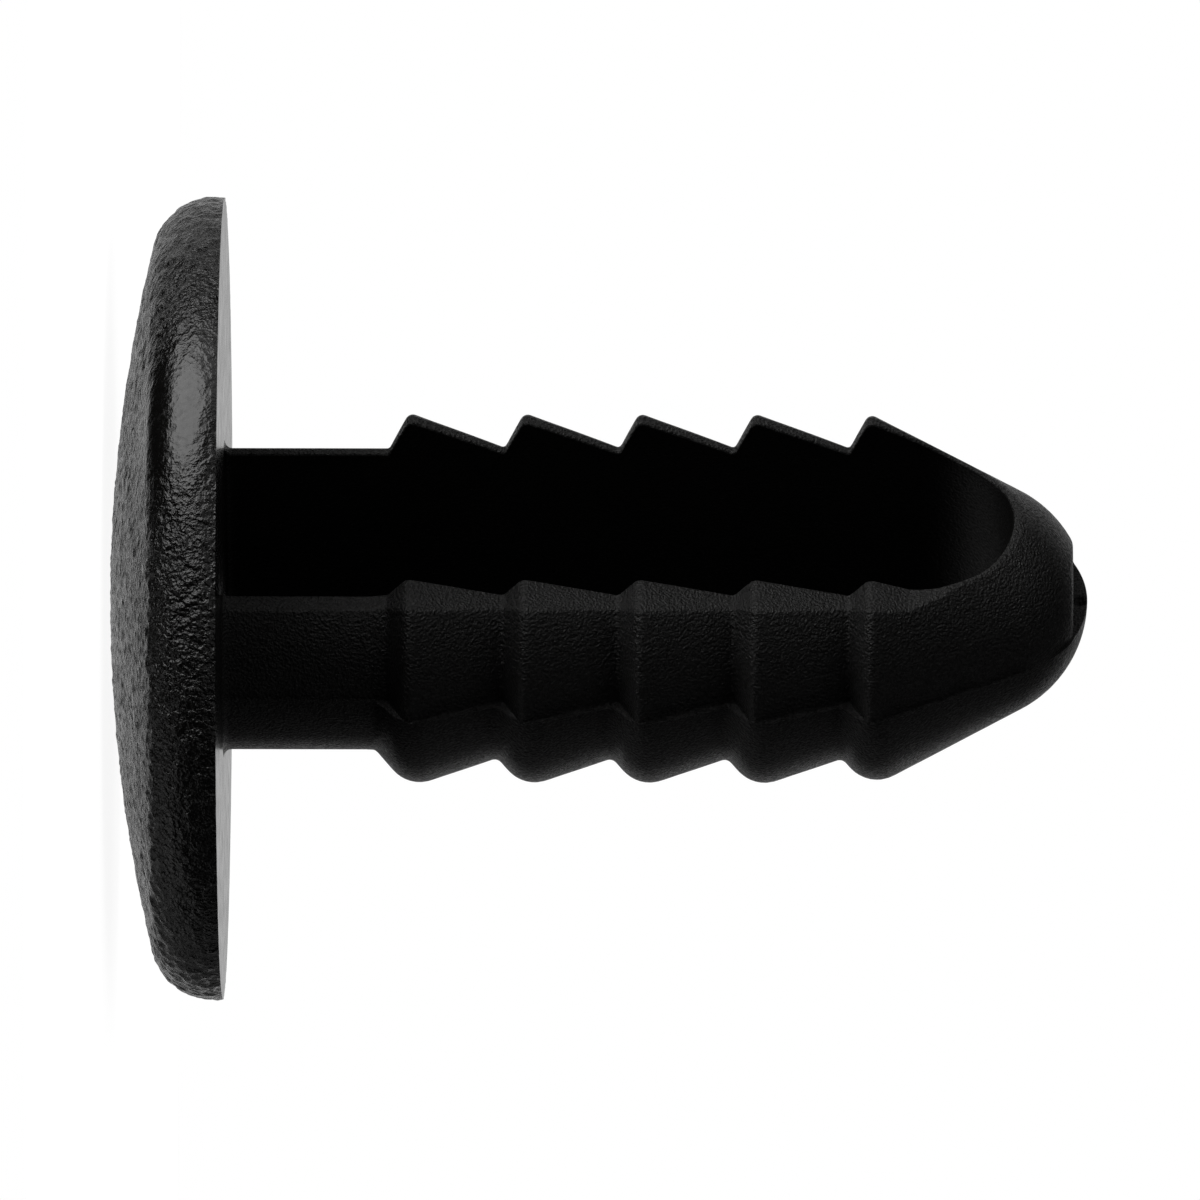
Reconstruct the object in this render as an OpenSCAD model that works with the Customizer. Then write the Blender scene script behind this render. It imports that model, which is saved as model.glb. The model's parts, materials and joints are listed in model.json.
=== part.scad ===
// Push-in body hole plug, moulded in one piece from black nylon.
// It stands on its domed head with the barbed stem pointing up.
// The origin is the lowest point of the dome, and the stem runs along +Z.
// The slot opens towards -Y and +Y, and the two legs stand at -X and +X.
// Each leg has one blunt edge: the +X leg towards -Y, and the -X leg towards +Y.

/* [Head] */
// Diameter of the head at its flat underside
head_d = 19; // [15:0.1:24]
// Height of the head from the lowest point of the dome to the flat underside
head_h = 2.69; // [2.3:0.01:3.2]
// Spherical radius of the dome
dome_r = 35; // [28:0.1:60]
// Radius that rounds the dome over into the rim
rim_r = 1.5; // [1.2:0.1:2]

/* [Shank] */
// Diameter of the plain shank
shank_d = 7.12; // [6.6:0.01:7.3]
// Length of the plain shank, from the head to the first barb
grip_len = 3.76; // [2.5:0.01:6]
// Thickness of the plain shank across the blunt edges of its legs
shank_land_w = 4.2; // [3.8:0.1:4.6]
// Length at the top of the shank where those blunt edges stop short of the barbs
shank_land_gap = 0.23; // [0.18:0.01:0.6]

/* [Barbs] */
// Number of barbs
barb_count = 5; // [3:1:8]
// Diameter over the tips of the barbs, before they are rounded
barb_d = 8.88; // [8.4:0.01:9.6]
// Diameter at the roots between the barbs
root_d = 7.42; // [7.3:0.01:7.8]
// Distance from one barb to the next
barb_pitch = 2.71; // [2.3:0.01:3.4]
// Length along the stem of the flank that catches behind the panel, from root to tip
barb_flank = 0.52; // [0.3:0.01:0.8]
// Rounding of the barb tips
barb_tip_r = 0.45; // [0.1:0.01:0.5]
// Rounding at the root between two barbs
barb_root_r = 0.16; // [0.05:0.01:0.25]

/* [Nose] */
// Length of the nose beyond the tip of the last barb
nose_len = 5.12; // [4.4:0.01:7]
// Spherical radius of the end of the nose
nose_cap_r = 2.9; // [2.3:0.1:3.1]
// Height by which one mould half stops short of the other at the end of the nose
tip_step = 0.34; // [0.1:0.01:0.6]
// Diameter of the gate mark in the middle of that step
gate_d = 0.44; // [0.2:0.01:0.8]

/* [Slot] */
// Width of the slot between the two legs
slot_w = 4.6; // [4.3:0.01:4.9]
// Solid thickness left between the end of the slot and the end of the nose
nose_wall = 1.74; // [1.2:0.01:2.6]
// Angle at the axis from the middle of the slot's mouth to a blunt edge
mouth_angle = 52; // [48:1:54]
// Thickness of the nose across the blunt edges of its legs
nose_land_w = 4.9; // [4.6:0.1:5.6]

/* [Hidden] */
plug_colour = [0.05, 0.05, 0.055];
// Straight steps in an arc of the outline
large_arc_steps = 16;
small_arc_steps = 4;
// Length of leg that is buried in the head
leg_root = head_h / 2;
// How far a cut runs past the face that it opens
cut_margin = 1;
head_r = head_d / 2;
shank_r = shank_d / 2;
barb_r = barb_d / 2;
root_r = root_d / 2;
slot_r = slot_w / 2;
seat_z = head_h;
first_barb_z = seat_z + grip_len;
// The flanks lean alike, so the first one, which starts at the shank, is a little longer.
flank_lean = barb_flank / (barb_r - root_r);
first_tip_z = first_barb_z + flank_lean * (barb_r - shank_r);
nose_z = first_tip_z + (barb_count - 1) * barb_pitch;
tip_z = nose_z + nose_len;
cap_z = tip_z - nose_cap_r;
slot_end_z = tip_z - nose_wall;
// Where the blunt edges start to fade on the nose, and where they have run out into the slot's edge
nose_land_z = slot_end_z - 0.65 * slot_r;
land_out = [0.6 * barb_r, slot_end_z - 0.4 * slot_r];
// The rim arc touches the dome from inside, so their centres lie dome_r - rim_r apart.
rim_centre = [head_r - rim_r, dome_r - sqrt((dome_r - rim_r) ^ 2 - (head_r - rim_r) ^ 2)];
dome_edge_angle = asin(rim_centre.x / (dome_r - rim_r));
rim_top_angle = asin((seat_z - rim_centre.y) / rim_r);
// The nose cone leaves the last barb tip and touches the spherical cap at this angle from the axis.
cap_to_barb = [nose_z - cap_z, barb_r];
cap_edge_angle = atan2(cap_to_barb.y, cap_to_barb.x) - acos(nose_cap_r / norm(cap_to_barb));

// Unit vector along v
function unit(v) = v / norm(v);

// Points on an arc about c, from angle a0 to angle a1
function arc(c, r, a0, a1, steps) =
    [for (i = [0:steps]) c + r * [cos(a0 + (a1 - a0) * i / steps), sin(a0 + (a1 - a0) * i / steps)]];

// The corner b of the path a, b, c, rounded with radius r
function round_corner(a, b, c, r) =
    let (
        back = unit(a - b),
        ahead = unit(c - b),
        half = acos(back * ahead) / 2,
        centre = b + unit(back + ahead) * r / sin(half),
        start = b + back * r / tan(half) - centre,
        turn = sign(cross(b - a, c - b)) * (180 - 2 * half),
        a0 = atan2(start.y, start.x)
    )
    arc(centre, r, a0, a0 + turn, small_arc_steps);

// Sharp outline of the barbs as [radius, height, rounding]
function barb_corners() =
    [for (i = [0:barb_count - 1], tip = [0, 1])
        let (z = first_tip_z + i * barb_pitch, r = i == 0 ? shank_r : root_r)
        tip == 0 ? [r, z - flank_lean * (barb_r - r), barb_root_r] : [barb_r, z, barb_tip_r]];

// The same outline with its corners rounded, from the shank to the start of the nose cap
function barb_outline() =
    let (
        cap_edge = [nose_cap_r * sin(cap_edge_angle), cap_z + nose_cap_r * cos(cap_edge_angle)],
        path = concat([[shank_r, seat_z, 0]], barb_corners(), [[cap_edge.x, cap_edge.y, 0]]),
        flat = [for (p = path) [p.x, p.y]]
    )
    [for (i = [1:len(path) - 2]) each round_corner(flat[i - 1], flat[i], flat[i + 1], path[i][2])];

// Rounded end of the nose, from the cone to the axis
function cap_outline() = arc([0, cap_z], nose_cap_r, 90 - cap_edge_angle, 90, large_arc_steps);

// Thickness of a leg, from the middle plane to its blunt edge, at a point of the outline
function land(p) = p.x * cos(mouth_angle);

// Domed head with a bull-nosed rim and a flat underside
module head() {
    dome = arc([0, dome_r], dome_r, -90, dome_edge_angle - 90, large_arc_steps);
    rim = arc(rim_centre, rim_r, dome_edge_angle - 90, rim_top_angle, large_arc_steps);
    rotate_extrude($fn = 128)
        polygon(concat(dome, rim, [[0, seat_z]]));
}

// Solid of revolution that the legs and the nose are cut from
module stem_blank() {
    foot = [[0, seat_z - leg_root], [shank_r, seat_z - leg_root]];
    rotate_extrude($fn = 96)
        polygon(concat(foot, barb_outline(), cap_outline()));
}

// What is cut off one side of the +X leg to leave its blunt edge
module land_cut() {
    foot_z = seat_z - leg_root;
    outside = barb_r + cut_margin;
    side = concat(
        [[shank_land_w / 2, foot_z], [shank_land_w / 2, first_barb_z - shank_land_gap]],
        [for (p = barb_outline()) [land(p), p.y]],
        [[nose_land_w / 2, nose_land_z], land_out]
    );
    rotate([90, 0, 90])
        linear_extrude(outside)
            mirror([1, 0])
                polygon(concat([[outside, foot_z]], side, [[outside, land_out.y]]));
}

// Through slot with a round end, which leaves the two legs
module slot() {
    floor_z = seat_z - leg_root - cut_margin;
    end_centre_z = slot_end_z - slot_r;
    rotate([90, 0, 0])
        linear_extrude(barb_d + 2 * cut_margin, center = true) {
            translate([-slot_r, floor_z])
                square([slot_w, end_centre_z - floor_z]);
            translate([0, end_centre_z])
                circle(slot_r, $fn = 96);
        }
}

// What the shorter mould half leaves off the end of the nose, with the gate mark
module tip_cut() {
    step_z = tip_z - tip_step;
    translate([-nose_cap_r, -2 * nose_cap_r, step_z])
        cube([2 * nose_cap_r, 2 * nose_cap_r, tip_step + cut_margin]);
    translate([0, 0, step_z])
        sphere(d = gate_d, $fn = 48);
}

// Two barbed legs that meet in the nose
module stem() {
    difference() {
        stem_blank();
        for (turn = [0, 180])
            rotate(turn)
                land_cut();
        slot();
        tip_cut();
    }
}

// The whole plug
module hole_plug() {
    color(plug_colour) {
        head();
        stem();
    }
}

hole_plug();
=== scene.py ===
import json
import math
from typing import NamedTuple

import bmesh
import bpy
import numpy as np
from mathutils import Matrix, Vector, noise
from mathutils.geometry import delaunay_2d_cdt


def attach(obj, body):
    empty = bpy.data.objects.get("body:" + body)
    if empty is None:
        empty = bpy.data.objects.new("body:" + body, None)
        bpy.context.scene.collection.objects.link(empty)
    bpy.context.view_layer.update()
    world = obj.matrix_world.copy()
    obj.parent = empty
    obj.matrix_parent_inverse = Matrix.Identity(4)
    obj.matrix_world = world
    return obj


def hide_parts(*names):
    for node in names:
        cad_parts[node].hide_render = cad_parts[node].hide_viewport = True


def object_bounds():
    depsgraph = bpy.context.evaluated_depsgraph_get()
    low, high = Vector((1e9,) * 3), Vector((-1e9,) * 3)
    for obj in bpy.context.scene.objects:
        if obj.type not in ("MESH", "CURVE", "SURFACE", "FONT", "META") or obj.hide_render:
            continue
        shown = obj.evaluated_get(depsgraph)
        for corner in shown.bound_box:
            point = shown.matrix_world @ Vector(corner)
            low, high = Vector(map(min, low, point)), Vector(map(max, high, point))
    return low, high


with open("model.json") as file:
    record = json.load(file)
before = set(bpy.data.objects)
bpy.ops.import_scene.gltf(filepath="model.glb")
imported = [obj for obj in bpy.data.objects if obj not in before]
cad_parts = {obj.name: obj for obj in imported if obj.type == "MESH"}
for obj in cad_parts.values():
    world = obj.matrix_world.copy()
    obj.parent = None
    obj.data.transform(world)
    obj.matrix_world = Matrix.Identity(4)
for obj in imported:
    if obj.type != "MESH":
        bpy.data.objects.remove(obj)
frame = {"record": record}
cad_low, cad_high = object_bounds()


class BarbForm(NamedTuple):
    """The barbs as one half of the mould forms them: sharp radii, lean of the flank and roundings."""

    tip_r: float
    root_r: float
    lean: float
    tip_round: float
    root_round: float


class Finish(NamedTuple):
    """One finish of the nylon: its gloss and the size and depth of its fine grain."""

    roughness: float
    uneven: float
    specular: float
    grain_size: float
    grain_depth: float


class LightPatch(NamedTuple):
    """A round patch of light in the surroundings, full within one angle and gone past the other."""

    direction: Vector
    full_angle: float
    end_angle: float
    strength: float


# Every length below is in millimetres. The stem stands along +Z, and the slot opens towards -Y and +Y.
# The mould parts in the plane y = 0. Its near half, at y < 0, stops short at the end of the nose.
MM = 0.001
mounts = {mount["name"]: mount for mount in frame["record"]["mounts"]}

# Head
HEAD_R = min(-cad_low.x, -cad_low.y, cad_high.x, cad_high.y) / MM
SEAT_Z = mounts["head_seat"]["pos_m"][2] / MM
DOME_R = 35.0
RIM_R = 1.5

# Moulded grain of the head: its size and depth, how sharply it is formed and the share of it on the dome
PEBBLE_SIZE = 0.3
PEBBLE_DEPTH = 0.07
PEBBLE_MIDDLE = 0.5
PEBBLE_CONTRAST = 0.6
PEBBLE_DETAIL = 0.5
DOME_GRAIN = 0.9

# Place on the rim where the grain is worn smooth, and the share of the grain that is left there
WORN_TURN = math.radians(-70)
WORN_SPOT = Vector((HEAD_R * math.cos(WORN_TURN), HEAD_R * math.sin(WORN_TURN), SEAT_Z / 2))
WORN_R = 3.2
WORN_CORE_R = WORN_R / 3
WORN_LEFT = 0.2

# Shank and barbs
SHANK_R = mounts["barbed_stem"]["dims"]["r_mm"]
GRIP_LEN = mounts["barbed_stem"]["dims"]["length_mm"]
FIRST_FLANK = 0.598
FIRST_BARB_Z = SEAT_Z + GRIP_LEN
FIRST_TIP_Z = FIRST_BARB_Z + FIRST_FLANK
BARB_COUNT = 5
BARB_PITCH = 2.71
NOSE_Z = FIRST_TIP_Z + (BARB_COUNT - 1) * BARB_PITCH
NEAR_BARB = BarbForm(tip_r=4.395, root_r=3.58, lean=0.56, tip_round=0.18, root_round=0.1)
FAR_BARB = BarbForm(tip_r=4.46, root_r=3.75, lean=0.87, tip_round=0.85, root_round=0.2)

# Nose
TIP_Z = cad_high.z / MM
CAP_R = 2.9
CAP_Z = TIP_Z - CAP_R
TIP_STEP = 0.34
STEP_Z = TIP_Z - TIP_STEP
STEP_EDGE_R = 0.05
STEP_LEAN = 0.004
GATE_BELOW_TIP = 0.2
GATE_Z = TIP_Z - GATE_BELOW_TIP
GATE_R = 0.15
GATE_DEPTH = 0.2

# Slot and the edges of the legs along its mouths. The +X leg has a flat blunt edge towards -Y and a
# sharp one towards +Y, and the -X leg the other way round. The blunt ones run out on the nose.
SLOT_R = 2.3
NOSE_WALL = 1.74
ARCH_Z = TIP_Z - NOSE_WALL - SLOT_R
LAND_SHARE = 0.62
SHANK_LAND = 2.17
SHANK_LAND_GAP = 0.23
NOSE_LAND = 2.42
LAND_FADE_START = math.radians(14)
LAND_FADE_END = math.radians(40)
EDGE_SOFT = 0.06
EDGE_SOFT_SHARE = 0.45
LEG_EDGE_CUT = 0.2
NOSE_EDGE_CUT = 0.1
FOOT_FILLET_R = 0.18

# Thin uneven ridge along the parting plane
RIDGE_H = 0.05
RIDGE_MIDDLE = 0.5
RIDGE_W = 0.02
RIDGE_WAVE = 0.35

# Mesh density
STATION_STEP = 0.16
FINE_STEP = 0.045
FINE_BELOW_TIP = 0.95
FINE_ABOVE_TIP = 0.3
FOOT_STATIONS = 6
ARC_STEPS = 8
ARCH_STATIONS = 40
TIP_STATIONS = 12
TIP_SHARE = 0.12
WALL_POINTS = 7
CORNER_POINTS = 6
LAND_POINTS = 4
OUTER_POINTS = 24
OUTER_CROWDING = 1.9
HALVINGS = 50
FIRST_OUTER = WALL_POINTS + 2 * CORNER_POINTS + LAND_POINTS - 4
STEP_POINTS = 6
HEAD_SECTORS = 720
SECTOR_SHARE = 0.45
DOME_RINGS = 52
RIM_RINGS = 32
SEAT_RINGS = 12
SEAT_HALVED_RINGS = (SEAT_RINGS // 3, 2 * SEAT_RINGS // 3)
SEAT_EDGE_R = HEAD_R - 2 * PEBBLE_DEPTH
SEAT_RING_R = 6.2
SEAT_GRID = 0.5
SEAT_CLEAR = 0.4
SEAT_TOLERANCE = 1e-7
SHARP_ANGLE = math.radians(50)

# Camera: where it stands, how large a millimetre is in the 1200-pixel frame, and where z = 0 falls in it
PHOTO_SIZE = 1200
PX_PER_MM = 42.42
FLOOR_PX = 110
AXIS_PX = 599.2
CAMERA_AZIMUTH = math.radians(48)
CAMERA_DISTANCE = 700
CAMERA_ROLL = 0.002
CAMERA_Z = 17.9
CAMERA_CLIP = (10, 10000)
SENSOR_W = 36
TOWARDS_CAMERA = Vector((math.sin(CAMERA_AZIMUTH), -math.cos(CAMERA_AZIMUTH), 0))
STEM_UP = Vector((0, 0, 1))
PICTURE_UP = TOWARDS_CAMERA.cross(STEM_UP)
VIEW_CENTRE_Z = (PHOTO_SIZE / 2 - FLOOR_PX) / PX_PER_MM
VIEW_CENTRE = STEM_UP * VIEW_CENTRE_Z - PICTURE_UP * (PHOTO_SIZE / 2 - AXIS_PX) / PX_PER_MM

# Light from all round: a white sheet behind the plug, which shiny faces show a little brighter, a weaker
# one below it, three soft boxes and a fill
ROOM_LIGHT = 0.004
SHEET = LightPatch(PICTURE_UP * 0.2 + STEM_UP * 0.05 - TOWARDS_CAMERA, 24, 42, 0.44)
SHEET_SHINE = LightPatch(PICTURE_UP * 0.2 + STEM_UP * 0.05 - TOWARDS_CAMERA, 24, 40, 0.24)
LOW_SHEET = LightPatch(STEM_UP * 0.25 - PICTURE_UP * 0.6 - TOWARDS_CAMERA * 0.8, 12, 42, 0.12)
SOFT_BOX = LightPatch(TOWARDS_CAMERA * 0.38 + PICTURE_UP * 0.74 - STEM_UP * 0.53, 24, 32, 3.5)
TOP_BOX = LightPatch(TOWARDS_CAMERA * 0.15 + PICTURE_UP * 0.95 + STEM_UP * 0.25, 16, 36, 0.7)
LOW_BOX = LightPatch(-PICTURE_UP * 0.55 - STEM_UP * 0.7 - TOWARDS_CAMERA * 0.45, 12, 30, 0.35)
SIDE_FILL = LightPatch(STEM_UP * 0.64 + TOWARDS_CAMERA * 0.77, 10, 45, 0.4)
LIGHTS = (SHEET, LOW_SHEET, SOFT_BOX, TOP_BOX, LOW_BOX, SIDE_FILL)
WHITE = (1, 1, 1, 1)

# Floor, whose glow towards the camera makes it white where no shadow falls
FLOOR_R = 70
FLOOR_SIDES = 96
FLOOR_COLOUR = (0.9, 0.9, 0.9, 1)
FLOOR_ROUGHNESS = 0.9
FLOOR_GLOW = 0.9

# Black nylon: its finishes, its two tones and the part of the noise that takes it from one to the other
NYLON_DARK = (0.0012, 0.0011, 0.001, 1)
NYLON_LIGHT = (0.005, 0.0047, 0.0044, 1)
GRAIN_DETAIL = 3
GRAIN_LOW = 0.32
GRAIN_HIGH = 0.68
HEAD_FINISH = Finish(roughness=0.2, uneven=0.12, specular=0.5, grain_size=0.13, grain_depth=0.11)
SEAT_FINISH = Finish(roughness=0.22, uneven=0.06, specular=0.5, grain_size=0.5, grain_depth=0.002)
STEM_FINISH = Finish(roughness=0.42, uneven=0.14, specular=0.35, grain_size=0.065, grain_depth=0.09)
# Slot walls: smoother than the stem, and their low specular paints shade inside the slot
SLOT_SHADE_FINISH = Finish(roughness=0.35, uneven=0.1, specular=0.12, grain_size=0.065, grain_depth=0.02)
FINISHES = (HEAD_FINISH, SEAT_FINISH, STEM_FINISH, SLOT_SHADE_FINISH)
FINISH_NAMES = ("nylon_head", "nylon_seat", "nylon_stem", "nylon_slot_shade")


def unit(vector):
    """The vector at length 1."""
    return vector / np.linalg.norm(vector)


def round_corner(before, corner, after, radius):
    """Points of the arc that rounds one corner of an outline."""
    back = unit(before - corner)
    ahead = unit(after - corner)
    half = math.acos(back @ ahead) / 2
    centre = corner + unit(back + ahead) * radius / math.sin(half)
    start = corner + back * radius / math.tan(half) - centre
    end = corner + ahead * radius / math.tan(half) - centre
    first = math.atan2(start[1], start[0])
    sweep = math.atan2(start[0] * end[1] - start[1] * end[0], start @ end)
    angles = first + sweep * np.linspace(0, 1, ARC_STEPS + 1)
    return [centre + radius * np.array((math.cos(a), math.sin(a))) for a in angles]


def nose_cone_end(tip_r):
    """Radius and height where the cone of the nose touches its spherical end."""
    reach = np.array((NOSE_Z - CAP_Z, tip_r))
    angle = math.atan2(reach[1], reach[0]) - math.acos(CAP_R / np.linalg.norm(reach))
    return CAP_R * math.sin(angle), CAP_Z + CAP_R * math.cos(angle)


def stem_outline(barb):
    """Radius and height along the shank, the barbs and the cone of the nose."""
    path = [(SHANK_R, SEAT_Z)]
    rounding = [0]
    for i in range(BARB_COUNT):
        tip_z = FIRST_TIP_Z + i * BARB_PITCH
        root_r = SHANK_R if i == 0 else barb.root_r
        path.append((root_r, tip_z - barb.lean * (barb.tip_r - root_r)))
        path.append((barb.tip_r, tip_z))
        rounding += [barb.root_round, barb.tip_round]
    path.append(nose_cone_end(barb.tip_r))
    path = [np.array(p) for p in path]
    points = [path[0]]
    for i in range(1, len(path) - 1):
        points += round_corner(path[i - 1], path[i], path[i + 1], rounding[i])
    points.append(path[-1])
    return np.array(points)


NEAR_OUTLINE = stem_outline(NEAR_BARB)
FAR_OUTLINE = stem_outline(FAR_BARB)


def stem_radius(z, outline):
    """Outer radius of the uncut stem at height z."""
    cap = np.sqrt(np.maximum(CAP_R ** 2 - (z - CAP_Z) ** 2, 0))
    return np.where(z < outline[-1, 1], np.interp(z, outline[:, 1], outline[:, 0]), cap)


def blend(start, end, share):
    """A value between start and end, which the share takes from one to the other."""
    return start + (end - start) * min(max(share, 0), 1)


def land_depth(z, radius):
    """Depth of a leg's blunt edge, from the parting plane, at height z."""
    depth = LAND_SHARE * radius
    if z > NOSE_Z:
        depth = max(depth, NOSE_LAND)
    return blend(depth, SHANK_LAND, (FIRST_BARB_Z - z) / SHANK_LAND_GAP)


def graded(count):
    """Steps from 1 down to 0 that crowd together towards 0."""
    return np.linspace(1, 0, count) ** OUTER_CROWDING


def soft_corner(start, corner, end):
    """Points of the smooth bend that leads from start to end inside a corner."""
    t = np.linspace(0, 1, CORNER_POINTS)[:, None]
    return (1 - t) ** 2 * start + 2 * t * (1 - t) * corner + t ** 2 * end


def half_section(wall, land_y, reach):
    """One half of a leg's section, from the slot wall over the edge to the parting plane.

    wall is the distance of the slot wall, land_y the depth where the edge is cut flat, and reach
    gives the distance of the outer face at each depth.
    """
    inner = np.array((wall, land_y))
    outer = np.array((float(reach(land_y)), land_y))
    soft = min(EDGE_SOFT, EDGE_SOFT_SHARE * (outer[0] - wall))
    along = np.array((soft, 0))
    wall_end = np.array((wall, land_y - soft))
    outer_start = np.array((float(reach(land_y - soft)), land_y - soft))
    y = outer_start[1] * graded(OUTER_POINTS)
    return np.vstack((
        np.linspace((wall, 0), wall_end, WALL_POINTS)[:-1],
        soft_corner(wall_end, inner, inner + along)[:-1],
        np.linspace(inner + along, outer - along, LAND_POINTS)[:-1],
        soft_corner(outer - along, outer, outer_start)[:-1],
        np.column_stack((reach(y), y)),
    ))


def leg_section(z, outline, blunt):
    """Half section of a leg at height z, as points (x, y)."""
    outset = foot_outset(z)
    bare_radius = float(stem_radius(z, outline))
    radius = bare_radius + outset
    wall = SLOT_R - outset
    edge_cut = blend(LEG_EDGE_CUT, NOSE_EDGE_CUT, (z - NOSE_Z) / (ARCH_Z - NOSE_Z))
    land_y = math.sqrt(radius ** 2 - wall ** 2) - edge_cut
    if blunt:
        land_y = land_depth(z, bare_radius) + outset

    def reach(y):
        return np.sqrt(radius ** 2 - y ** 2)

    return half_section(wall, land_y, reach)


def arch_reach(turn, y, outline):
    """Distance from the arch's axis to the outer face, for a ray at angle turn and depth y."""
    low = np.zeros_like(y)
    high = np.full_like(y, TIP_Z)
    for _ in range(HALVINGS):
        middle = (low + high) / 2
        radius = stem_radius(ARCH_Z + middle * math.sin(turn), outline)
        inside = (middle * math.cos(turn)) ** 2 + y ** 2 < radius ** 2
        low = np.where(inside, middle, low)
        high = np.where(inside, high, middle)
    return low


def arch_corner(turn, outline):
    """Depth at which the slot wall would meet the outer face in a sharp edge."""
    radius = float(stem_radius(ARCH_Z + SLOT_R * math.sin(turn), outline))
    return math.sqrt(radius ** 2 - (SLOT_R * math.cos(turn)) ** 2)


def arch_section(turn, outline, blunt):
    """Half section through the nose at angle turn round the arch, as points (distance, y)."""
    land_y = arch_corner(turn, outline) - NOSE_EDGE_CUT
    if blunt:
        fade = (turn - LAND_FADE_START) / (LAND_FADE_END - LAND_FADE_START)
        land_y = blend(min(NOSE_LAND, land_y), land_y, fade)

    def reach(y):
        return arch_reach(turn, y, outline)

    return half_section(SLOT_R, land_y, reach)


def soft_min(values, limit):
    """The smaller of each value and the limit, with a rounded change from one to the other."""
    over = np.clip((values - limit + STEP_EDGE_R) / (2 * STEP_EDGE_R), 0, 1)
    return values + (limit - values) * over - STEP_EDGE_R * over * (1 - over)


def parting_ridge(y, place):
    """Height of the thin uneven ridge that the mould leaves along its parting plane."""
    height = RIDGE_H * (RIDGE_MIDDLE + noise.noise(Vector((0, 0, place / RIDGE_WAVE))))
    return max(height, 0) * np.exp(-((y / RIDGE_W) ** 2))


def whole_section(far, near, place, cap=None):
    """Closed section from its two mould halves, the near one of which ends at the distance cap."""
    near = near * (1, -1)
    outer = np.arange(len(far)) >= FIRST_OUTER
    for half in (far, near):
        ridge = np.where(outer, parting_ridge(half[:, 1], place), 0)
        if cap is not None:
            ridge = ridge * np.clip((cap - half[:, 0]) / STEP_EDGE_R, 0, 1)
        half[:, 0] += ridge
    if cap is not None:
        near[outer, 0] = soft_min(near[outer, 0], cap)
    shares = np.linspace(0, 1, STEP_POINTS + 2)[1:-1]
    step_x = far[-1, 0] + (near[-1, 0] - far[-1, 0]) * shares
    step = np.column_stack((step_x, -STEP_LEAN * shares))
    near[outer, 1] = np.minimum(near[outer, 1], -STEP_LEAN)
    return np.vstack((far, step, near[:0:-1]))


def foot_outset(z):
    """How far the foot of a leg flares into the head at height z."""
    share = np.clip((z - SEAT_Z) / FOOT_FILLET_R, 0, 1)
    return FOOT_FILLET_R * (1 - math.sqrt(1 - (1 - share) ** 2))


def leg_stations():
    """Heights of a leg's sections from the head to the arch, close together at the barbs."""
    turns = np.linspace(0, math.pi / 2, FOOT_STATIONS)
    heights = [SEAT_Z + FOOT_FILLET_R * (1 - math.cos(turn)) for turn in turns]
    fine_start = FIRST_TIP_Z - FINE_BELOW_TIP
    while heights[-1] < ARCH_Z - STATION_STEP:
        past = heights[-1] - fine_start
        fine = past > 0 and past % BARB_PITCH < FINE_BELOW_TIP + FINE_ABOVE_TIP
        heights.append(heights[-1] + (FINE_STEP if fine else STATION_STEP))
    return heights


def gate_pit(loop, first):
    """Presses the gate's pit into the points of the step at the end of the nose."""
    step = loop[first:first + STEP_POINTS]
    away = (step[:, 0] ** 2 + (step[:, 2] - GATE_Z) ** 2) / GATE_R ** 2
    step[:, 1] += GATE_DEPTH * np.exp(-(away ** 2))


def leg_loops(far_blunt, near_blunt):
    """Sections of the +X leg and of its half of the nose, as loops of points."""
    forms = ((FAR_OUTLINE, far_blunt), (NEAR_OUTLINE, near_blunt))
    loops = []
    for z in leg_stations():
        section = whole_section(*(leg_section(z, *form) for form in forms), z)
        loops.append(np.column_stack((section, np.full(len(section), z))))
    turns = np.concatenate((
        np.linspace(0, 1 - TIP_SHARE, ARCH_STATIONS),
        np.linspace(1 - TIP_SHARE, 1, TIP_STATIONS + 1)[1:],
    )) * math.pi / 2
    cap_rise = STEP_Z - ARCH_Z
    for turn in turns:
        rise = math.sin(turn)
        cap = cap_rise / rise if rise > cap_rise / TIP_Z else None
        halves = [arch_section(turn, *form) for form in forms]
        section = whole_section(*halves, ARCH_Z + SLOT_R * rise, cap)
        x = section[:, 0] * math.cos(turn)
        loop = np.column_stack((x, section[:, 1], ARCH_Z + section[:, 0] * rise))
        gate_pit(loop, len(halves[0]))
        loops.append(loop)
    return np.array(loops)


class Shell:
    """Vertices and faces of a mesh in the making, with a finish number for each face."""

    def __init__(self):
        self.points = []
        self.faces = []
        self.finish = []

    def add_points(self, points):
        first = len(self.points)
        self.points += [tuple(p) for p in points]
        return list(range(first, len(self.points)))

    def add_face(self, corners, finish):
        self.faces.append(tuple(corners))
        self.finish.append(FINISHES.index(finish))

    def join(self, ring, other, finish):
        """Quads between two closed rings of the same length."""
        count = len(ring)
        for i in range(count):
            j = (i + 1) % count
            self.add_face((ring[i], ring[j], other[j], other[i]), finish)

    def halve(self, ring, other, finish):
        """Triangles between a ring and one of half its length."""
        count = len(other)
        for i in range(count):
            a, b, c = ring[2 * i], ring[2 * i + 1], ring[(2 * i + 2) % len(ring)]
            d, e = other[i], other[(i + 1) % count]
            self.add_face((a, b, d), finish)
            self.add_face((b, e, d), finish)
            self.add_face((b, c, e), finish)

    def connect(self, ring, other, finish):
        """Faces between a ring and one of the same or half its length."""
        if len(ring) == len(other):
            self.join(ring, other, finish)
        else:
            self.halve(ring, other, finish)


def build_legs(shell):
    """Adds both legs and the nose, and returns the rings at their feet."""
    rings = [shell.add_points(loop) for loop in leg_loops(far_blunt=False, near_blunt=True)]
    other_loops = leg_loops(far_blunt=True, near_blunt=False) * (-1, 1, 1)
    others = [shell.add_points(loop) for loop in other_loops[:-1]] + [rings[-1]]
    for ring, following in zip(rings, rings[1:]):
        join_sections(shell, ring, following)
    for ring, following in zip(others, others[1:]):
        join_sections(shell, following, ring)
    return rings[0], others[0]


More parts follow.
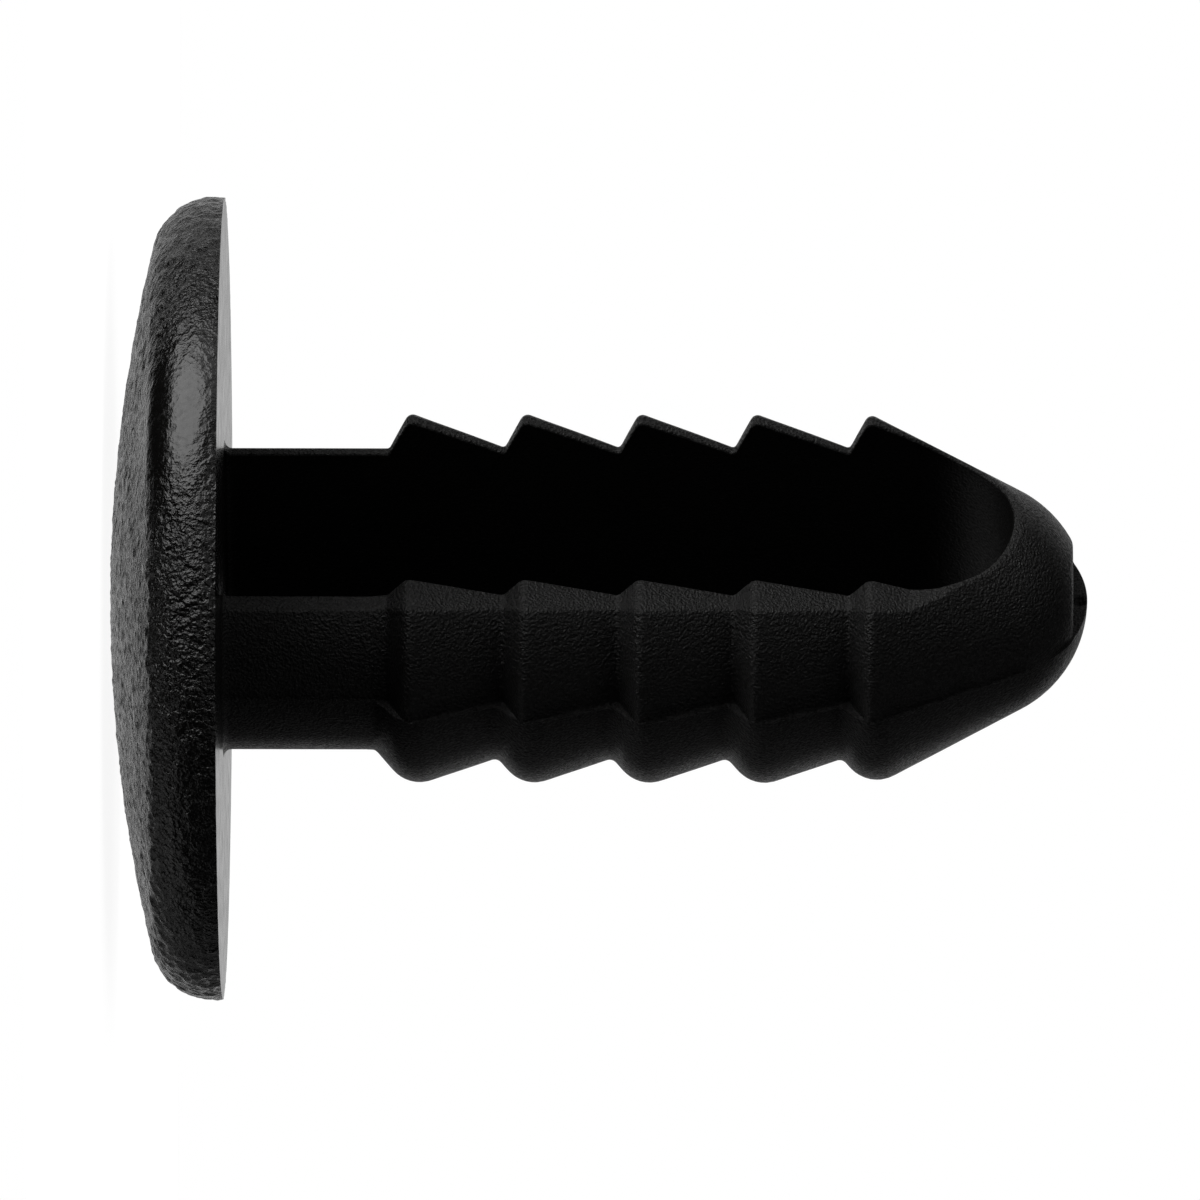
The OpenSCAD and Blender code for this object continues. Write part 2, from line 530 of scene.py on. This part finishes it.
def join_sections(shell, ring, other):
    """Joins two sections of a leg, with the smoother, duller finish on the slot's wall, whose low shine
    is painted shade inside the slot.
    """
    count = len(ring)
    for i in range(count):
        j = (i + 1) % count
        on_wall = i < WALL_POINTS - 1 or i > count - WALL_POINTS
        finish = SLOT_SHADE_FINISH if on_wall else STEM_FINISH
        shell.add_face((ring[i], ring[j], other[j], other[i]), finish)


def head_profile():
    """Rings of the dome and the rim as radius, height and the direction (outwards, up) they face."""
    centre_r = HEAD_R - RIM_R
    centre_z = DOME_R - math.sqrt((DOME_R - RIM_R) ** 2 - centre_r ** 2)
    dome_edge = math.asin(centre_r / (DOME_R - RIM_R))
    rim_end = math.asin((SEAT_Z - centre_z) / RIM_R)
    rings = []
    for a in np.linspace(0, dome_edge, DOME_RINGS)[1:-1]:
        outwards, up = math.sin(a), -math.cos(a)
        rings.append((DOME_R * outwards, DOME_R * (1 + up), outwards, up))
    for a in np.linspace(dome_edge - math.pi / 2, rim_end, RIM_RINGS):
        outwards, up = math.cos(a), math.sin(a)
        rings.append((centre_r + RIM_R * outwards, centre_z + RIM_R * up, outwards, up))
    return rings


def ring_points(radius, z, count):
    """Points evenly round a circle about the stem's axis."""
    turns = np.linspace(0, 2 * math.pi, count, endpoint=False)
    return np.column_stack((radius * np.cos(turns), radius * np.sin(turns), np.full(count, z)))


def pebbles(point):
    """Depth of the moulded grain at a point of the head, from 0 to 1."""
    place = Vector(point) / PEBBLE_SIZE
    height = noise.noise(place) + PEBBLE_DETAIL * noise.noise(place * 2)
    worn_from = (Vector(point) - WORN_SPOT).length - WORN_CORE_R
    left = blend(WORN_LEFT, 1, worn_from / (WORN_R - WORN_CORE_R))
    return left * blend(0, 1, PEBBLE_MIDDLE - PEBBLE_CONTRAST * height)


def grained_ring(radius, z, outwards, up):
    """One ring of the head with the grain pressed into it."""
    points = ring_points(radius, z, sectors_at(radius))
    full_depth = PEBBLE_DEPTH * (DOME_GRAIN + (1 - DOME_GRAIN) * outwards)
    depth = np.array([full_depth * pebbles(p) for p in points])
    facing = points * (outwards / radius, outwards / radius, 0) + (0, 0, up)
    return points - facing * depth[:, None]


def sectors_at(radius):
    """How many points a ring of the dome has, so that they stay about as far apart."""
    count = HEAD_SECTORS
    while count % 2 == 0 and radius < SECTOR_SHARE * HEAD_R * count / HEAD_SECTORS:
        count //= 2
    return count


def build_head(shell):
    """Adds the dome, the rim and the outer part of the underside, and returns its inner ring."""
    centre = shell.add_points([(0, 0, 0)])[0]
    rings = [shell.add_points(grained_ring(*ring)) for ring in head_profile()]
    first = rings[0]
    for i in range(len(first)):
        shell.add_face((centre, first[(i + 1) % len(first)], first[i]), HEAD_FINISH)
    for inner, outer in zip(rings, rings[1:]):
        shell.connect(outer, inner, HEAD_FINISH)
    last = rings[-1]
    count = HEAD_SECTORS
    for i, radius in enumerate(np.linspace(SEAT_EDGE_R, SEAT_RING_R, SEAT_RINGS)):
        if i in SEAT_HALVED_RINGS:
            count //= 2
        ring = shell.add_points(ring_points(radius, SEAT_Z, count))
        shell.connect(last, ring, SEAT_FINISH)
        last = ring
    return last


def build_seat(shell, rim_ring, feet):
    """Fills the flat underside between the inner ring and the feet of the legs."""
    borders = [rim_ring, *feet]
    known = [i for ring in borders for i in ring]
    flat = [Vector(shell.points[i][:2]) for i in known]
    edges = []
    start = 0
    for ring in borders:
        count = len(ring)
        edges += [(start + i, start + (i + 1) % count) for i in range(count)]
        start += count
    grid = np.arange(SEAT_GRID / 2 - SEAT_RING_R, SEAT_RING_R, SEAT_GRID)
    extra = [Vector((x, y)) for x in grid for y in grid if seat_is_open(x, y)]
    points, _, faces, origins, _, _ = delaunay_2d_cdt(flat + extra, edges, [], 0, SEAT_TOLERANCE)
    index = []
    for place, source in zip(points, origins):
        old = [i for i in source if i < len(known)]
        index.append(known[old[0]] if old else shell.add_points([(place.x, place.y, SEAT_Z)])[0])
    for face in faces:
        middle = sum((points[i] for i in face), Vector((0, 0))) / len(face)
        if inside_ring(middle, shell, rim_ring) and not any(inside_ring(middle, shell, r) for r in feet):
            shell.add_face([index[i] for i in face], SEAT_FINISH)


def seat_is_open(x, y):
    """Whether a point of the underside lies clear of the inner ring and of both feet."""
    distance = math.hypot(x, y)
    near_leg = abs(x) > SLOT_R - SEAT_CLEAR and abs(y) < SHANK_R and distance < SHANK_R + SEAT_CLEAR
    return distance < SEAT_RING_R - SEAT_CLEAR and not near_leg


def inside_ring(point, shell, ring):
    """Whether a point of the underside lies inside a closed ring."""
    xy = np.array([shell.points[i][:2] for i in ring])
    nxt = np.roll(xy, -1, axis=0)
    crosses = (xy[:, 1] > point.y) != (nxt[:, 1] > point.y)
    rise = np.where(nxt[:, 1] == xy[:, 1], 1, nxt[:, 1] - xy[:, 1])
    at = xy[:, 0] + (point.y - xy[:, 1]) / rise * (nxt[:, 0] - xy[:, 0])
    return np.count_nonzero(crosses & (at > point.x)) % 2 == 1


def plug_shell():
    """The whole plug as one closed mesh."""
    shell = Shell()
    feet = build_legs(shell)
    rim_ring = build_head(shell)
    build_seat(shell, rim_ring, feet)
    return shell


def face_outwards(mesh):
    """Turns every face of a closed mesh so that its front is outside."""
    work = bmesh.new()
    work.from_mesh(mesh)
    bmesh.ops.recalc_face_normals(work, faces=work.faces)
    work.to_mesh(mesh)
    work.free()


def mesh_object(name, shell, materials):
    """Makes the finished piece, with smooth shading."""
    mesh = bpy.data.meshes.new(name)
    mesh.from_pydata([tuple(c * MM for c in p) for p in shell.points], [], shell.faces)
    for material in materials:
        mesh.materials.append(material)
    mesh.polygons.foreach_set("material_index", shell.finish)
    mesh.polygons.foreach_set("use_smooth", [True] * len(shell.faces))
    face_outwards(mesh)
    mesh.update()
    mesh.set_sharp_from_angle(angle=SHARP_ANGLE)
    piece = bpy.data.objects.new(name, mesh)
    bpy.context.scene.collection.objects.link(piece)
    return piece


def node(tree, kind, **values):
    """Adds a shader node and sets its plain properties."""
    made = tree.nodes.new(kind)
    for key, value in values.items():
        setattr(made, key, value)
    return made


def map_range(tree, value, source, target, **options):
    """Adds a node that takes a value from one range into another, and returns its output."""
    made = node(tree, "ShaderNodeMapRange", **options)
    made.inputs["From Min"].default_value = source[0]
    made.inputs["From Max"].default_value = source[1]
    made.inputs["To Min"].default_value = target[0]
    made.inputs["To Max"].default_value = target[1]
    tree.links.new(value, made.inputs["Value"])
    return made.outputs["Result"]


def grain_noise(tree, places, size):
    """Noise with the size of a finish's grain."""
    grain = node(tree, "ShaderNodeTexNoise")
    grain.inputs["Scale"].default_value = 1 / (size * MM)
    grain.inputs["Detail"].default_value = GRAIN_DETAIL
    tree.links.new(places, grain.inputs["Vector"])
    return grain.outputs["Fac"]


def grain_colour(tree, grain):
    """Colour of the nylon, from the dark to the light parts of its grain."""
    colour = node(tree, "ShaderNodeValToRGB")
    dark, light = colour.color_ramp.elements
    dark.position = GRAIN_LOW
    dark.color = NYLON_DARK
    light.position = GRAIN_HIGH
    light.color = NYLON_LIGHT
    tree.links.new(grain, colour.inputs["Fac"])
    return colour.outputs["Color"]


def grain_bump(tree, places, grain, depth):
    """Bump of the grain, which is shallower where the rim is worn smooth."""
    away = node(tree, "ShaderNodeVectorMath", operation="DISTANCE")
    away.inputs[1].default_value = WORN_SPOT * MM
    tree.links.new(places, away.inputs[0])
    left = map_range(tree, away.outputs["Value"], (WORN_CORE_R * MM, WORN_R * MM), (WORN_LEFT, 1))
    bump = node(tree, "ShaderNodeBump")
    bump.inputs["Distance"].default_value = depth * MM
    tree.links.new(left, bump.inputs["Strength"])
    tree.links.new(grain, bump.inputs["Height"])
    return bump.outputs["Normal"]


def nylon(name, finish):
    """Black nylon whose grain is colour, roughness and bump from object-space noise."""
    material = bpy.data.materials.new(name)
    material.use_nodes = True
    tree = material.node_tree
    shader = tree.nodes["Principled BSDF"]
    shader.inputs["Specular IOR Level"].default_value = finish.specular
    places = node(tree, "ShaderNodeTexCoord").outputs["Object"]
    grain = grain_noise(tree, places, finish.grain_size)
    dull_to_shiny = (finish.roughness + finish.uneven, finish.roughness - finish.uneven)
    gloss = map_range(tree, grain, (GRAIN_LOW, GRAIN_HIGH), dull_to_shiny)
    tree.links.new(grain_colour(tree, grain), shader.inputs["Base Color"])
    tree.links.new(gloss, shader.inputs["Roughness"])
    tree.links.new(grain_bump(tree, places, grain, finish.grain_depth), shader.inputs["Normal"])
    return material


def make_camera():
    """Camera at the photograph's viewing angle."""
    data = bpy.data.cameras.new("camera")
    camera = bpy.data.objects.new("camera", data)
    bpy.context.scene.collection.objects.link(camera)
    place = TOWARDS_CAMERA * CAMERA_DISTANCE + STEM_UP * CAMERA_Z
    back = (place - VIEW_CENTRE).normalized()
    level = (STEM_UP - back * back.z).normalized()
    right = level + back.cross(level) * CAMERA_ROLL
    right.normalize()
    up = back.cross(right)
    turn = Matrix((right, up, back)).transposed().to_4x4()
    camera.matrix_world = Matrix.Translation(place * MM) @ turn
    data.sensor_width = SENSOR_W
    data.lens = SENSOR_W * (place - VIEW_CENTRE).length * PX_PER_MM / PHOTO_SIZE
    data.clip_start = CAMERA_CLIP[0] * MM
    data.clip_end = CAMERA_CLIP[1] * MM
    bpy.context.scene.camera = camera


def patch_light(tree, coords, patch):
    """Node output with the light that one patch of the surroundings sends from each direction."""
    facing = node(tree, "ShaderNodeVectorMath", operation="DOT_PRODUCT")
    facing.inputs[1].default_value = patch.direction.normalized()
    tree.links.new(coords.outputs["Generated"], facing.inputs[0])
    edges = [math.cos(math.radians(angle)) for angle in (patch.end_angle, patch.full_angle)]
    return map_range(
        tree, facing.outputs["Value"], edges, (0, patch.strength), interpolation_type="SMOOTHSTEP"
    )


def math_node(tree, operation, *values):
    """Adds a maths node fed by sockets or plain numbers, and returns its output."""
    made = node(tree, "ShaderNodeMath", operation=operation)
    for socket, value in zip(made.inputs, values):
        if isinstance(value, bpy.types.NodeSocket):
            tree.links.new(value, socket)
        else:
            socket.default_value = value
    return made.outputs["Value"]


def make_world():
    """Studio light from all round, seen by the camera as plain white."""
    world = bpy.data.worlds.new("studio")
    bpy.context.scene.world = world
    world.use_nodes = True
    tree = world.node_tree
    tree.nodes.clear()
    coords = node(tree, "ShaderNodeTexCoord")
    path = node(tree, "ShaderNodeLightPath")
    lights = [patch_light(tree, coords, patch) for patch in LIGHTS]
    shine = patch_light(tree, coords, SHEET_SHINE)
    lights.append(math_node(tree, "MULTIPLY", path.outputs["Is Glossy Ray"], shine))
    total = ROOM_LIGHT
    for light in lights:
        total = math_node(tree, "ADD", light, total)
    studio = node(tree, "ShaderNodeBackground")
    studio.inputs["Color"].default_value = WHITE
    tree.links.new(total, studio.inputs["Strength"])
    white = node(tree, "ShaderNodeBackground")
    white.inputs["Color"].default_value = WHITE
    mix = node(tree, "ShaderNodeMixShader")
    output = node(tree, "ShaderNodeOutputWorld")
    seen = math_node(tree, "MAXIMUM", path.outputs["Is Camera Ray"], path.outputs["Is Transmission Ray"])
    tree.links.new(seen, mix.inputs["Fac"])
    tree.links.new(studio.outputs["Background"], mix.inputs[1])
    tree.links.new(white.outputs["Background"], mix.inputs[2])
    tree.links.new(mix.outputs["Shader"], output.inputs["Surface"])


def make_floor():
    """Round pale floor under the plug, which only the camera sees."""
    shell = Shell()
    ring = shell.add_points(ring_points(FLOOR_R, 0, FLOOR_SIDES))
    shell.add_face(ring, HEAD_FINISH)
    material = bpy.data.materials.new("floor")
    material.use_nodes = True
    tree = material.node_tree
    shader = tree.nodes["Principled BSDF"]
    shader.inputs["Base Color"].default_value = FLOOR_COLOUR
    shader.inputs["Roughness"].default_value = FLOOR_ROUGHNESS
    path = node(tree, "ShaderNodeLightPath")
    tree.links.new(path.outputs["Is Camera Ray"], shader.inputs["Emission Strength"])
    shader.inputs["Emission Color"].default_value = (FLOOR_GLOW, FLOOR_GLOW, FLOOR_GLOW, 1)
    floor = mesh_object("floor", shell, [material])
    floor.visible_diffuse = False
    floor.visible_glossy = False
    floor.visible_transmission = False
    floor.visible_shadow = False


make_camera()
make_world()
make_floor()

bpy.context.scene.view_settings.view_transform = "Standard"

finishes = [nylon(name, finish) for name, finish in zip(FINISH_NAMES, FINISHES)]
plug = mesh_object("plug_body", plug_shell(), finishes)
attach(plug, "root")
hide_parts("hole_plug")
